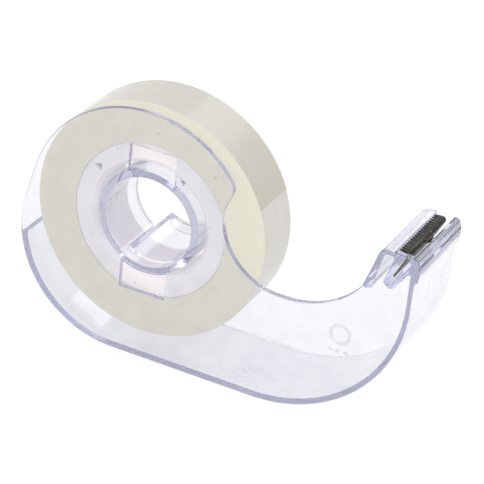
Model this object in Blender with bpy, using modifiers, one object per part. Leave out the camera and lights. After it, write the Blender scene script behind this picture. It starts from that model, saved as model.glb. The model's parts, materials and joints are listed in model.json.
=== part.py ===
"""Hand-held snail-shaped tape dispenser with a roll of 12 mm tape on its hub.

The frame is in metres. The origin is on the base, straight below the hub
axis and halfway across the moulding; +X points towards the cutter, +Y from
the closed side to the open side and +Z up. Outlines are drawn in the side
view, as (x, z) measured from the hub axis, and "across" values run along +Y
from the outer face of the side plate.
"""

import bpy
import bmesh
from math import acos, asin, atan2, cos, degrees, hypot, pi, radians, sin, sqrt

MM = 0.001

# ---- driving dimensions ------------------------------------------------

# Tape and its core.
TAPE_RADIUS = 26.2 * MM
TAPE_WIDTH = 12.0 * MM
CORE_BORE = 12.7 * MM
CORE_WALL = 4.6 * MM
CORE_CHAMFER = 0.9 * MM
GATE_WIDTH = 1.6 * MM
GATE_HEIGHT = 1.8 * MM
GATE_DEPTH = 1.0 * MM
GATE_ANGLE = 145.0
WIDEST_TAPE = 19.0 * MM

# Clear moulding: side plate, rim wall, hub and cutter head in one piece.
BODY_SPARE = 0.9 * MM
PLATE_THICKNESS = 1.2 * MM
RIM_THICKNESS = 1.1 * MM
FRONT_REACH = 59.0 * MM
REAR_CLEARANCE = 3.4 * MM
FLOOR_CLEARANCE = 4.7 * MM
FRONT_RADIUS = 32.0 * MM
REAR_RADIUS = 23.6 * MM
RIM_END_DROP = 3.6 * MM
LOBE_INSET = 0.5 * MM
LOBE_OFFSET = (-2.0 * MM, -1.2 * MM)
LOBE_TIP_ANGLE = 35.7
LOBE_TIP_RADIUS = 2.8 * MM
LOBE_TIP_SPAN = 8.0
NOTCH_START_DROP = (-2.0 * MM, -5.0 * MM)
NOTCH_DEPTH = 6.7 * MM
NOTCH_REAR_RADIUS = 13.8 * MM
NOTCH_FLAT = 1.43 * MM
LANDING_SETBACK = 10.7 * MM
LANDING_FOOT = 1.9 * MM

# Hub tube with two snap fingers.
HUB_CLEARANCE = 1.1 * MM
HUB_WALL = 1.5 * MM
HUB_OVERRUN = 0.9 * MM
HOOK_PLAY = 0.1 * MM
FINGER_WIDTH = 10.2 * MM
FINGER_ROOT = 3.4 * MM
HOOK_LENGTH = 1.4 * MM
HOOK_REACH = 1.7 * MM
HOOK_TAPER = 0.9 * MM
WINDOW_HEIGHT = 5.1 * MM
WINDOW_LEDGE = 0.15 * MM

# Cutter head and blade.
HEAD_TOP = 11.4 * MM
BLADE_THICKNESS = 0.4 * MM
BLADE_MARGIN = 1.9 * MM
BLADE_LEAN = 25.5
BLADE_LEG = 6.3 * MM
BLADE_FLANGE = 2.6 * MM
BLADE_SETBACK = 2.0 * MM
BLADE_PROUD = 0.1 * MM
FLANGE_TILT = 3.0
TOOTH_PITCH = 1.0 * MM
TOOTH_FLAT = 0.1 * MM
TOOTH_DEPTH = 0.6 * MM
BARB_WIDTH = 1.6 * MM
BARB_REACH = 0.75 * MM
BARB_HEIGHT = 1.1 * MM
BARB_DROP = 0.4 * MM
SLOT_MOUTH = 0.8 * MM
SEAT_DEPTH = 0.85 * MM

# Clearances and facet sizes.
GAP = 0.3 * MM
OVERCUT = 1.0 * MM
ARC_STEP = 4.0
FILLET_STEPS = 5
RING_STEPS = 96

# ---- sizes that follow from them ---------------------------------------

HUB_HEIGHT = TAPE_RADIUS + FLOOR_CLEARANCE + RIM_THICKNESS
REAR_REACH = TAPE_RADIUS + REAR_CLEARANCE
LOBE_RADIUS = TAPE_RADIUS - LOBE_INSET
CORE_RADIUS = CORE_BORE + CORE_WALL
HUB_OUTER = CORE_BORE - HUB_CLEARANCE
HUB_INNER = HUB_OUTER - HUB_WALL
ROLL_NEAR = PLATE_THICKNESS + GAP
ROLL_FAR = ROLL_NEAR + TAPE_WIDTH
BODY_WIDTH = ROLL_NEAR + WIDEST_TAPE + BODY_SPARE
HUB_END = ROLL_FAR + HUB_OVERRUN
HOOK_START = max(ROLL_NEAR + WIDEST_TAPE, HUB_END) + HOOK_PLAY
FINGER_TIP = HOOK_START + HOOK_LENGTH
SLIT_HALF = FINGER_WIDTH / 2 + GAP
WINDOW_OUTER = HUB_OUTER + WINDOW_HEIGHT
PIVOT_RADIUS = HUB_OUTER - HUB_WALL / 2
BLADE_NEAR = PLATE_THICKNESS + GAP
BLADE_FAR = BODY_WIDTH - BLADE_MARGIN
BLADE_MIDDLE = (BLADE_NEAR + BLADE_FAR) / 2
TOOTH_COUNT = round((BLADE_FAR - BLADE_NEAR) / TOOTH_PITCH)

# ---- scene, collections and materials ----------------------------------

for leftover in list(bpy.data.objects):
    bpy.data.objects.remove(leftover, do_unlink=True)


def new_collection(name):
    """Make a collection and link it to the scene."""
    collection = bpy.data.collections.new(name)
    bpy.context.scene.collection.children.link(collection)
    return collection


PARTS = new_collection("tape_dispenser")
CUTTERS = new_collection("cutters")


def plain_material(name, colour, roughness, metallic=0.0, transmission=0.0):
    """Make a Principled material with one colour."""
    material = bpy.data.materials.new(name)
    material.use_nodes = True
    shader = material.node_tree.nodes["Principled BSDF"]
    shader.inputs["Base Color"].default_value = (*colour, 1.0)
    shader.inputs["Roughness"].default_value = roughness
    shader.inputs["Metallic"].default_value = metallic
    shader.inputs["Transmission Weight"].default_value = transmission
    material.diffuse_color = (*colour, 1.0)
    return material


CLEAR_PLASTIC = plain_material("clear_plastic", (0.90, 0.91, 0.96), 0.06, transmission=0.9)
BLADE_STEEL = plain_material("blade_steel", (0.12, 0.11, 0.10), 0.35, metallic=1.0)
CORE_PLASTIC = plain_material("core_plastic", (0.86, 0.82, 0.86), 0.45)
TAPE_FILM = plain_material("tape_film", (0.80, 0.77, 0.68), 0.40)

# ---- outline helpers ----------------------------------------------------


def on_circle(centre, radius, degrees):
    """Point of a circle at an angle counted from +X towards +Z."""
    angle = radians(degrees)
    return (centre[0] + radius * cos(angle), centre[1] + radius * sin(angle))


def arc(centre, radius, start, end):
    """Points along an arc, both ends included, at most ARC_STEP degrees apart."""
    steps = max(2, round(abs(end - start) / ARC_STEP))
    return [on_circle(centre, radius, start + (end - start) * i / steps) for i in range(steps + 1)]


def fillet(before, corner, after, radius):
    """Points that round one corner with an arc tangent to both its sides."""
    ax, az = before[0] - corner[0], before[1] - corner[1]
    bx, bz = after[0] - corner[0], after[1] - corner[1]
    la, lb = hypot(ax, az), hypot(bx, bz)
    ax, az, bx, bz = ax / la, az / la, bx / lb, bz / lb
    half_cos = sqrt(max(0.0, (1 + ax * bx + az * bz) / 2))
    half_sin = sqrt(max(1e-9, 1 - half_cos * half_cos))
    reach = min(radius * half_cos / half_sin, 0.48 * la, 0.48 * lb)
    points = []
    for i in range(FILLET_STEPS + 1):
        t = i / FILLET_STEPS
        # A quadratic curve through the two tangent points stays within a few
        # hundredths of a millimetre of the true arc at these radii.
        wa, wb = reach * (1 - t) ** 2, reach * t ** 2
        points.append((corner[0] + ax * wa + bx * wb, corner[1] + az * wa + bz * wb))
    return points


def rounded(corners):
    """Closed outline from (x, z, radius) corners; a zero radius stays sharp."""
    points = []
    for i, (x, z, radius) in enumerate(corners):
        if radius == 0.0:
            points.append((x, z))
            continue
        before = corners[i - 1]
        after = corners[(i + 1) % len(corners)]
        points.extend(fillet(before[:2], (x, z), after[:2], radius))
    return points


def from_head(dx, dz, radius=0.0):
    """Corner given from the top front corner of the cutter head."""
    return (FRONT_REACH + dx * MM, HEAD_TOP + dz * MM, radius * MM)


# ---- solid helpers --------------------------------------------------------


def link(obj, collection, material=None):
    """Put an object in a collection and give it its material."""
    collection.objects.link(obj)
    if material:
        obj.data.materials.append(material)
    return obj


def as_cutter(obj):
    """Mark an object as a tool that other objects are cut with."""
    obj.hide_render = True
    obj.display_type = "WIRE"
    return obj


def prism(name, loops, near, far, collection=CUTTERS):
    """Extrude closed outlines across the body, from near to far."""
    curve = bpy.data.curves.new(name, "CURVE")
    curve.dimensions = "2D"
    curve.fill_mode = "BOTH"
    curve.extrude = (far - near) / 2
    for loop in loops:
        spline = curve.splines.new("POLY")
        spline.points.add(len(loop) - 1)
        spline.points.foreach_set("co", [value for x, z in loop for value in (x, z, 0.0, 1.0)])
        spline.use_cyclic_u = True
    drawn = bpy.data.objects.new(name + "_outline", curve)
    bpy.context.scene.collection.objects.link(drawn)
    drawn.rotation_euler = (pi / 2, 0.0, 0.0)
    drawn.location = (0.0, (near + far - BODY_WIDTH) / 2, HUB_HEIGHT)
    bpy.context.view_layer.update()
    evaluated = drawn.evaluated_get(bpy.context.evaluated_depsgraph_get())
    mesh = bpy.data.meshes.new_from_object(evaluated)
    mesh.name = name
    welded = bmesh.new()
    welded.from_mesh(mesh)
    bmesh.ops.remove_doubles(welded, verts=welded.verts, dist=0.001 * MM)
    bmesh.ops.recalc_face_normals(welded, faces=welded.faces)
    welded.to_mesh(mesh)
    welded.free()
    solid = bpy.data.objects.new(name, mesh)
    solid.matrix_world = drawn.matrix_world.copy()
    bpy.data.objects.remove(drawn, do_unlink=True)
    return link(solid, collection)


def turned(name, profile, material=None, collection=PARTS):
    """Turn a closed (radius, across) profile about the hub axis."""
    mesh = bpy.data.meshes.new(name)
    vertices = [(radius, 0.0, across - BODY_WIDTH / 2) for radius, across in profile]
    edges = [(i, (i + 1) % len(profile)) for i in range(len(profile))]
    mesh.from_pydata(vertices, edges, [])
    obj = bpy.data.objects.new(name, mesh)
    obj.rotation_euler = (-pi / 2, 0.0, 0.0)
    obj.location = (0.0, 0.0, HUB_HEIGHT)
    screw = obj.modifiers.new("turn", "SCREW")
    screw.angle = 2 * pi
    screw.steps = RING_STEPS
    screw.render_steps = RING_STEPS
    screw.use_merge_vertices = True
    screw.merge_threshold = 0.001 * MM
    return link(obj, collection, material)


def box(name, low, high, collection=CUTTERS):
    """Box between two (x, across, z) corners, z counted from the hub axis."""
    bpy.ops.mesh.primitive_cube_add(size=1.0)
    obj = bpy.context.active_object
    obj.name = name
    obj.data.name = name
    size = [h - l for l, h in zip(low, high)]
    middle = [(h + l) / 2 for l, h in zip(low, high)]
    for vertex in obj.data.vertices:
        vertex.co = [value * side for value, side in zip(vertex.co, size)]
    obj.location = (middle[0], middle[1] - BODY_WIDTH / 2, middle[2] + HUB_HEIGHT)
    for owner in list(obj.users_collection):
        owner.objects.unlink(obj)
    return link(obj, collection)


def cylinder(name, radius, near, far):
    """Cylinder on the hub axis, from near to far across the body."""
    bpy.ops.mesh.primitive_cylinder_add(vertices=RING_STEPS, radius=radius, depth=far - near)
    obj = bpy.context.active_object
    obj.name = name
    obj.data.name = name
    obj.rotation_euler = (pi / 2, 0.0, 0.0)
    obj.location = (0.0, (near + far - BODY_WIDTH) / 2, HUB_HEIGHT)
    for owner in list(obj.users_collection):
        owner.objects.unlink(obj)
    return link(obj, CUTTERS)


def combine(obj, tool, operation="DIFFERENCE"):
    """Cut, join or intersect an object with a tool object."""
    modifier = obj.modifiers.new(tool.name, "BOOLEAN")
    modifier.operation = operation
    modifier.solver = "EXACT"
    modifier.object = as_cutter(tool)


def shade_round(obj):
    """Smooth the round faces and keep the corners sharp."""
    obj.data.shade_smooth()
    obj.data.set_sharp_from_angle(angle=radians(35))


# ---- outlines of the clear moulding ---------------------------------------

REAR_CENTRE = (REAR_RADIUS - REAR_REACH, REAR_RADIUS - HUB_HEIGHT)
FRONT_CENTRE = (FRONT_REACH - FRONT_RADIUS, FRONT_RADIUS - HUB_HEIGHT)


def tangent_angle(big_centre, big_radius, small_centre, small_radius):
    """Angle of the line that touches two circles on their rear side."""
    dx = small_centre[0] - big_centre[0]
    dz = small_centre[1] - big_centre[1]
    distance = hypot(dx, dz)
    towards = degrees(atan2(dz, dx))
    return (towards - degrees(acos((big_radius - small_radius) / distance))) % 360


def notch_edge():
    """Concave edge from the foot of the landing wall back to the lobe's tip."""
    tip = on_circle(LOBE_OFFSET, LOBE_RADIUS, LOBE_TIP_ANGLE)
    start = (tip[0] + NOTCH_START_DROP[0], tip[1] + NOTCH_START_DROP[1])
    rear_rise = start[1] + NOTCH_DEPTH - NOTCH_REAR_RADIUS
    rear_half = sqrt(NOTCH_REAR_RADIUS ** 2 - rear_rise ** 2)
    rear_centre = (start[0] + rear_half, NOTCH_REAR_RADIUS - NOTCH_DEPTH)
    rear_angle = 180 - degrees(asin(rear_rise / NOTCH_REAR_RADIUS))
    # The front arc starts level at the notch's floor and ends at the landing's foot.
    run = FRONT_REACH - LANDING_SETBACK - rear_centre[0] - NOTCH_FLAT
    rise = LANDING_FOOT + NOTCH_DEPTH
    front_radius = (run ** 2 + rise ** 2) / (2 * rise)
    front_centre = (rear_centre[0] + NOTCH_FLAT, front_radius - NOTCH_DEPTH)
    front_angle = 360 - degrees(asin((front_radius - rise) / front_radius))
    points = arc(front_centre, front_radius, front_angle, 270)
    points += arc(rear_centre, NOTCH_REAR_RADIUS, 270, rear_angle)
    beyond = on_circle(LOBE_OFFSET, LOBE_RADIUS, LOBE_TIP_ANGLE + LOBE_TIP_SPAN)
    points += fillet(start, tip, beyond, LOBE_TIP_RADIUS)
    return points


def landing_face():
    """Outer face of the landing wall, from the head's top down to its foot."""
    corners = [from_head(-5.0, 0.0), from_head(-7.7, 0.0, 1.9), from_head(-8.8, -3.6, 6.0),
               from_head(-9.9, -8.9)]
    return rounded(corners)[1:-1]


def body_outline():
    """Whole side view of the moulding, anticlockwise from the front wall."""
    from_lobe = tangent_angle(LOBE_OFFSET, LOBE_RADIUS, REAR_CENTRE, REAR_RADIUS)
    head = rounded([from_head(0.0, -7.5), from_head(0.0, -5.9, 0.3), from_head(0.75, -5.1, 0.5),
                    from_head(0.85, -2.2, 1.0), from_head(0.2, -0.1, 0.9), from_head(-4.0, 0.0)])
    points = arc(FRONT_CENTRE, FRONT_RADIUS, 270, 360)
    points += head[1:-1]
    points += landing_face()
    points += notch_edge()
    points += arc(LOBE_OFFSET, LOBE_RADIUS, LOBE_TIP_ANGLE + LOBE_TIP_SPAN, from_lobe)
    points += arc(REAR_CENTRE, REAR_RADIUS, from_lobe, 270)
    return points


# ---- blade geometry, shared with the slot that holds it --------------------

LEAN = radians(BLADE_LEAN)
TILT = radians(FLANGE_TILT)
BEND = (FRONT_REACH - BLADE_SETBACK, HEAD_TOP + BLADE_PROUD - BLADE_THICKNESS / 2)
LEG_END = (BEND[0] - BLADE_LEG * sin(LEAN), BEND[1] - BLADE_LEG * cos(LEAN))
FLANGE_END = (BEND[0] - BLADE_FLANGE * cos(TILT), BEND[1] + BLADE_FLANGE * sin(TILT))


def past_leg(below, front, radius=0.0):
    """Corner given along and across the blade's leg, counted from its lower end."""
    return (LEG_END[0] - below * sin(LEAN) + front * cos(LEAN),
            LEG_END[1] - below * cos(LEAN) - front * sin(LEAN), radius)


def beside_leg(z, front):
    """Point at height z, at a distance in front of the leg's middle plane."""
    return (BEND[0] + (z - BEND[1]) * sin(LEAN) / cos(LEAN) + front / cos(LEAN), z)


def strip(start, bend, end, half):
    """Outline of a strip folded once, half its thickness on either side."""
    ax, az = bend[0] - start[0], bend[1] - start[1]
    bx, bz = end[0] - bend[0], end[1] - bend[1]
    la, lb = hypot(ax, az), hypot(bx, bz)
    na, nb = (-az / la, ax / la), (-bz / lb, bx / lb)
    mitre = 1 + na[0] * nb[0] + na[1] * nb[1]
    corner = ((na[0] + nb[0]) / mitre, (na[1] + nb[1]) / mitre)
    sides = []
    for distance in (half, -half):
        sides.append([(start[0] + distance * na[0], start[1] + distance * na[1]),
                      (bend[0] + distance * corner[0], bend[1] + distance * corner[1]),
                      (end[0] + distance * nb[0], end[1] + distance * nb[1])])
    return sides[0] + sides[1][::-1]


def channel_outline():
    """Slot for the blade's leg, wider at its mouth, and the seat under the flange."""
    side = BLADE_THICKNESS / 2
    floor = HEAD_TOP - SEAT_DEPTH
    above = HEAD_TOP + OVERCUT
    return [(FLANGE_END[0] - GAP, above), (FLANGE_END[0] - GAP, floor), beside_leg(floor, -side - GAP),
            past_leg(GAP, -side - GAP)[:2], past_leg(GAP, side + GAP)[:2],
            beside_leg(HEAD_TOP, side + SLOT_MOUTH), (beside_leg(HEAD_TOP, side + SLOT_MOUTH)[0], above)]


def barb_outline():
    """Wedge on the front of the blade's leg."""
    top = BEND[1] - BARB_DROP
    low = top - BARB_HEIGHT
    face = BLADE_THICKNESS / 2
    return [beside_leg(low, 0.0), beside_leg(low, face + BARB_REACH), beside_leg(top, face),
            beside_leg(top, 0.0)]


def barb_pocket_outline():
    """Room in front of the leg that the barb slides down into."""
    low = BEND[1] - BARB_DROP - BARB_HEIGHT - GAP
    above = HEAD_TOP + OVERCUT
    reach = BLADE_THICKNESS / 2 + BARB_REACH + GAP
    return [beside_leg(low, 0.0), beside_leg(low, reach), beside_leg(above, reach), beside_leg(above, 0.0)]


# ---- hollow of the clear moulding --------------------------------------------


def bay_outline():
    """Hollow behind the side plate: all but the rim wall and the head's walls.

    From the front wall it runs up under the solid block, round the U that
    holds the blade's leg, up the gap behind the landing wall and down again
    along that wall's inner face.
    """
    rim_end = 180 + degrees(RIM_END_DROP / REAR_RADIUS)
    outside = REAR_REACH + OVERCUT
    wall = -RIM_THICKNESS / MM
    points = arc(REAR_CENTRE, REAR_RADIUS - RIM_THICKNESS, rim_end, 270)
    points += arc(FRONT_CENTRE, FRONT_RADIUS - RIM_THICKNESS, 270, 360)
    points += rounded([from_head(wall, -8.0), from_head(wall, -4.1, 0.8), from_head(-1.9, -4.4, 0.5),
                       past_leg(2.72 * MM, 1.31 * MM, 1.1 * MM), past_leg(2.63 * MM, -1.06 * MM, 1.0 * MM),
                       from_head(-4.6, -1.4, 0.7), from_head(-7.0, -1.3, 1.0), from_head(-7.8, -4.2, 4.0),
                       from_head(-8.8, -9.6)])[1:-1]
    points += [from_head(-9.0, -9.7)[:2], from_head(-10.4, -10.1)[:2], from_head(-13.0, -6.0)[:2]]
    points += [(FRONT_REACH - LANDING_SETBACK, outside), (-outside, outside)]
    points.append((-outside, on_circle(REAR_CENTRE, REAR_RADIUS, rim_end)[1]))
    return points


# ---- pieces -----------------------------------------------------------------


def make_body():
    """Clear moulding: plate, rim, hub tube and cutter head."""
    body = prism("dispenser_body", [body_outline()], 0.0, BODY_WIDTH, PARTS)
    body.data.materials.append(CLEAR_PLASTIC)
    hub = arc((0.0, 0.0), HUB_OUTER, 0, 360)[:-1]
    far = max(BODY_WIDTH, FINGER_TIP) + OVERCUT
    combine(body, prism("bay_cut", [bay_outline(), hub], PLATE_THICKNESS, far))
    combine(body, cylinder("hub_end_cut", HUB_OUTER + OVERCUT, HUB_END, far))
    combine(body, cylinder("bore_cut", HUB_INNER, -OVERCUT, far))
    for name, sign in (("top", 1), ("bottom", -1)):
        low, high = sorted((sign * HUB_INNER / 2, sign * (HUB_OUTER + OVERCUT)))
        combine(body, box(name + "_slit_cut", (-SLIT_HALF, FINGER_ROOT, low), (SLIT_HALF, far, high)))
        sill = HUB_OUTER + WINDOW_LEDGE
        half_angle = degrees(asin(SLIT_HALF / sill))
        window = arc((0.0, 0.0), sill, 90 - half_angle, 90 + half_angle)
        window += [(-SLIT_HALF, WINDOW_OUTER), (SLIT_HALF, WINDOW_OUTER)]
        window = [(x, sign * z) for x, z in window]
        combine(body, prism(name + "_window_cut", [window], -OVERCUT, PLATE_THICKNESS + GAP / 2))
    combine(body, prism("blade_channel_cut", [channel_outline()], PLATE_THICKNESS, BODY_WIDTH + OVERCUT))
    reach = BARB_WIDTH / 2 + GAP
    pocket = prism("barb_pocket_cut", [barb_pocket_outline()], BLADE_MIDDLE - reach, BLADE_MIDDLE + reach)
    combine(body, pocket)
    shade_round(body)
    return body


def make_finger(name, sign):
    """Snap finger, hinged where it grows out of the hub tube."""
    root = FINGER_ROOT + GAP
    hook = HUB_OUTER + HOOK_REACH
    profile = [(hook - HOOK_TAPER, FINGER_TIP), (hook, FINGER_TIP - HOOK_LENGTH / 2), (hook, HOOK_START),
               (HUB_OUTER, HOOK_START), (HUB_OUTER, root), (HUB_INNER, root), (HUB_INNER, FINGER_TIP)]
    finger = turned(name, profile, CLEAR_PLASTIC)
    low, high = sorted((sign * HUB_INNER / 2, sign * (hook + OVERCUT)))
    half = FINGER_WIDTH / 2
    keep = box(name + "_keep", (-half, root - OVERCUT, low), (half, FINGER_TIP + OVERCUT, high))
    combine(finger, keep, "INTERSECT")
    pivot = bpy.data.objects.new(name + "_pivot", None)
    pivot.location = (0.0, FINGER_ROOT + GAP / 2 - BODY_WIDTH / 2, HUB_HEIGHT + sign * PIVOT_RADIUS)
    PARTS.objects.link(pivot)
    bpy.context.view_layer.update()
    finger.parent = pivot
    finger.matrix_parent_inverse = pivot.matrix_world.inverted()
    shade_round(finger)
    return finger


def make_core():
    """Plastic core with chamfered bore and a small gate recess on its near face."""
    flare = CORE_BORE + CORE_CHAMFER
    profile = [(CORE_RADIUS, ROLL_FAR), (CORE_RADIUS, ROLL_NEAR), (flare, ROLL_NEAR),
               (CORE_BORE, ROLL_NEAR + CORE_CHAMFER), (CORE_BORE, ROLL_FAR - CORE_CHAMFER), (flare, ROLL_FAR)]
    core = turned("tape_core", profile, CORE_PLASTIC)
    x, z = on_circle((0.0, 0.0), (flare + CORE_RADIUS) / 2, GATE_ANGLE)
    combine(core, box("gate_recess_cut", (x - GATE_WIDTH / 2, ROLL_NEAR - OVERCUT, z - GATE_HEIGHT / 2),
                      (x + GATE_WIDTH / 2, ROLL_NEAR + GATE_DEPTH, z + GATE_HEIGHT / 2)))
    shade_round(core)
    return core


def make_tape():
    """Wound tape, a ring that fits round the core."""
    inner = CORE_RADIUS + GAP
    profile = [(TAPE_RADIUS, ROLL_FAR), (TAPE_RADIUS, ROLL_NEAR), (inner, ROLL_NEAR), (inner, ROLL_FAR)]
    tape = turned("tape_roll", profile, TAPE_FILM)
    shade_round(tape)
    return tape


def make_blade():
    """Folded steel strip with a toothed edge and a barb on its leg."""
    outline = strip(LEG_END, BEND, FLANGE_END, BLADE_THICKNESS / 2)
    blade = prism("cutter_blade", [outline], BLADE_NEAR, BLADE_FAR, PARTS)
    blade.data.materials.append(BLADE_STEEL)
    reach = BARB_WIDTH / 2
    combine(blade, prism("barb_join", [barb_outline()], BLADE_MIDDLE - reach, BLADE_MIDDLE + reach), "UNION")
    pitch = (BLADE_FAR - BLADE_NEAR) / TOOTH_COUNT
    bottom = FLANGE_END[0] + TOOTH_DEPTH
    mouth = bottom - 2 * TOOTH_DEPTH
    for i in range(TOOTH_COUNT + 1):
        side = BLADE_NEAR + i * pitch
        combine(blade, gullet(f"gullet_cut_{i:02d}", bottom, mouth, side, pitch - TOOTH_FLAT))
    return blade


def gullet(name, bottom, mouth, side, half_mouth):
    """Upright V cutter with its point at x = bottom and its mouth at x = mouth."""
    bpy.ops.mesh.primitive_cylinder_add(vertices=3, radius=1.0, depth=4 * BLADE_THICKNESS)
    obj = bpy.context.active_object
    obj.name = name
    obj.location = (0.0, side - BODY_WIDTH / 2, HUB_HEIGHT + FLANGE_END[1])
    corners = ((bottom, 0.0), (mouth, -half_mouth), (mouth, half_mouth))
    for vertex in obj.data.vertices:
        vertex.co.xy = corners[vertex.index // 2]
    for owner in list(obj.users_collection):
        owner.objects.unlink(obj)
    return link(obj, CUTTERS)


make_body()
make_finger("hub_finger_top", 1)
make_finger("hub_finger_bottom", -1)
make_core()
make_tape()
make_blade()
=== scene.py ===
"""Looks of a clear hand tape dispenser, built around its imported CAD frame.

Every piece is worked out in the side view as (x, z) measured from the hub
axis, with "across" running along +Y from the outer face of the side plate.
Lengths are in metres and angles in degrees unless a name says otherwise.
"""

import json
import logging
import math
from dataclasses import dataclass
from enum import Enum

import bmesh
import bpy
import numpy as np
from mathutils import Matrix, Vector


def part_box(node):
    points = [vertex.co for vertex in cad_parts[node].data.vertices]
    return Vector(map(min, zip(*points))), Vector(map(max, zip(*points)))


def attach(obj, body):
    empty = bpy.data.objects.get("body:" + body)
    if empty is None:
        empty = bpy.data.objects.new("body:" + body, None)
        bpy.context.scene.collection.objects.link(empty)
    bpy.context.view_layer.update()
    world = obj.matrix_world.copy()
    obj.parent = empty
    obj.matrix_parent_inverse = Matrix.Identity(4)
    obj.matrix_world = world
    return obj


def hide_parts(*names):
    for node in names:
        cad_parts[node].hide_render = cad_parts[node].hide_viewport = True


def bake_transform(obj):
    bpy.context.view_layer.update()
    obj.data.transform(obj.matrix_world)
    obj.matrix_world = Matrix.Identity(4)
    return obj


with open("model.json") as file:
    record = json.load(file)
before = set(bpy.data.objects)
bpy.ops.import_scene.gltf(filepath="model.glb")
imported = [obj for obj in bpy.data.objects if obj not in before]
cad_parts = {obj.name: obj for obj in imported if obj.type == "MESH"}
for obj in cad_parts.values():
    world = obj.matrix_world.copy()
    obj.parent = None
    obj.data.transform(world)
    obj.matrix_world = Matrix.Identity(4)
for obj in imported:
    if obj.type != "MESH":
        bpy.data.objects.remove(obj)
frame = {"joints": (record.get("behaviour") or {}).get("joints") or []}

LOG = logging.getLogger("tape_dispenser")
MM = 0.001
FINEST = 0.05 * MM  # points of an outline never sit closer than this
SLIVER = 0.002 * MM  # vertices that a cut leaves closer than this are merged
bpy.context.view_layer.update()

Points = np.ndarray
Pair = tuple[float, float]
Triple = tuple[float, float, float]
Piece = bpy.types.Object
Material = bpy.types.Material
Tree = bpy.types.NodeTree
Node = bpy.types.Node
Socket = bpy.types.NodeSocket


# ---- the datum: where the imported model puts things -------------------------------


@dataclass(frozen=True)
class Datum:
    """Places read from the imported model, which every piece is built from.

    Args:
        hub_x: World X of the hub axis.
        hub_z: World Z of the hub axis.
        near_y: World Y of the side plate's outer face.
        base_z: World Z of the flat base.
        width: Width of the moulding, along Y.
        front: Distance from the hub axis to the foremost point.
        rear: Distance from the hub axis to the rearmost point.
    """

    hub_x: float
    hub_z: float
    near_y: float
    base_z: float
    width: float
    front: float
    rear: float

    @classmethod
    def from_frame(cls) -> "Datum":
        """Read the datum from the CAD nodes' boxes and the roll's joint.

        Returns:
            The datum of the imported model.
        """
        low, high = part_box("dispenser_body")
        spin = next(joint for joint in frame["joints"] if joint["name"] == "roll_spin")
        hub_x, _, hub_z = spin["pos_m"]
        return cls(hub_x, hub_z, low.y, low.z, high.y - low.y, high.x - hub_x, hub_x - low.x)

    def world(self, x: Points, across: Points, z: Points) -> Points:
        """Turn side-view coordinates into world points.

        Args:
            x: Distance in front of the hub axis.
            across: Distance from the side plate's outer face.
            z: Height above the hub axis.

        Returns:
            An array with the same shape and a last axis of three.
        """
        x, across, z = np.broadcast_arrays(x, across, z)
        return np.stack([self.hub_x + x, self.near_y + across, self.hub_z + z], axis=-1)


# ---- outlines --------------------------------------------------------------------


def on_circle(centre: Pair, radius: float, degrees: float) -> Pair:
    """Point of a circle at an angle counted from +X towards +Z."""
    angle = math.radians(degrees)
    return (centre[0] + radius * math.cos(angle), centre[1] + radius * math.sin(angle))


def arc(centre: Pair, radius: float, start: float, end: float, step: float = 1.0) -> Points:
    """Points along an arc, both ends included.

    Args:
        centre: Centre of the circle.
        radius: Radius of the circle.
        start: First angle.
        end: Last angle.
        step: Largest angle between two points.

    Returns:
        An (n, 2) array.
    """
    count = max(2, math.ceil(abs(end - start) / step)) + 1
    angle = np.radians(np.linspace(start, end, count))
    return np.stack([centre[0] + radius * np.cos(angle), centre[1] + radius * np.sin(angle)], axis=-1)


def fillet(before: Points, corner: Points, after: Points, radius: float, steps: int = 8) -> Points:
    """Round one corner with the circular arc that touches both its sides.

    The arc's centre lies on the corner's bisector, at radius / sin(half the
    corner's angle), and the arc runs between its feet on the two sides.

    Args:
        before: The point before the corner.
        corner: The corner.
        after: The point after it.
        radius: Radius asked for; short sides make it smaller.
        steps: Number of chords.

    Returns:
        A (steps + 1, 2) array.
    """
    before, corner, after = (np.asarray(p, float) for p in (before, corner, after))
    a, b = before - corner, after - corner
    length_a, length_b = np.linalg.norm(a), np.linalg.norm(b)
    a, b = a / length_a, b / length_b
    half = math.acos(float(np.clip(a @ b, -1, 1))) / 2
    reach = min(radius / math.tan(half), 0.49 * length_a, 0.49 * length_b)
    true_radius = reach * math.tan(half)
    bisector = (a + b) / np.linalg.norm(a + b)
    centre = corner + bisector * true_radius / math.sin(half)
    first, last = corner + a * reach - centre, corner + b * reach - centre
    turn = math.atan2(first[0] * last[1] - first[1] * last[0], float(first @ last))
    angle = turn * np.linspace(0, 1, steps + 1)
    cos, sin = np.cos(angle), np.sin(angle)
    return centre + np.stack([first[0] * cos - first[1] * sin, first[0] * sin + first[1] * cos], axis=-1)


def rounded(corners: list[Triple]) -> Points:
    """Closed outline with its corners rounded.

    Args:
        corners: (x, z, radius) corners; a zero radius stays sharp.

    Returns:
        An (n, 2) array.
    """
    pieces = []
    for i, (x, z, radius) in enumerate(corners):
        before, after = corners[i - 1][:2], corners[(i + 1) % len(corners)][:2]
        pieces.append(np.array([[x, z]]) if radius == 0 else fillet(before, (x, z), after, radius))
    return np.concatenate(pieces)


def thinned(outline: Points) -> Points:
    """Closed outline without the points that nearly repeat the one before.

    Args:
        outline: An (n, 2) array.

    Returns:
        An (m, 2) array whose neighbours are at least FINEST apart.
    """
    kept = [outline[0]]
    for point in outline[1:]:
        if np.linalg.norm(point - kept[-1]) >= FINEST:
            kept.append(point)
    if np.linalg.norm(kept[-1] - kept[0]) < FINEST:
        kept.pop()
    return np.array(kept)


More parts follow.
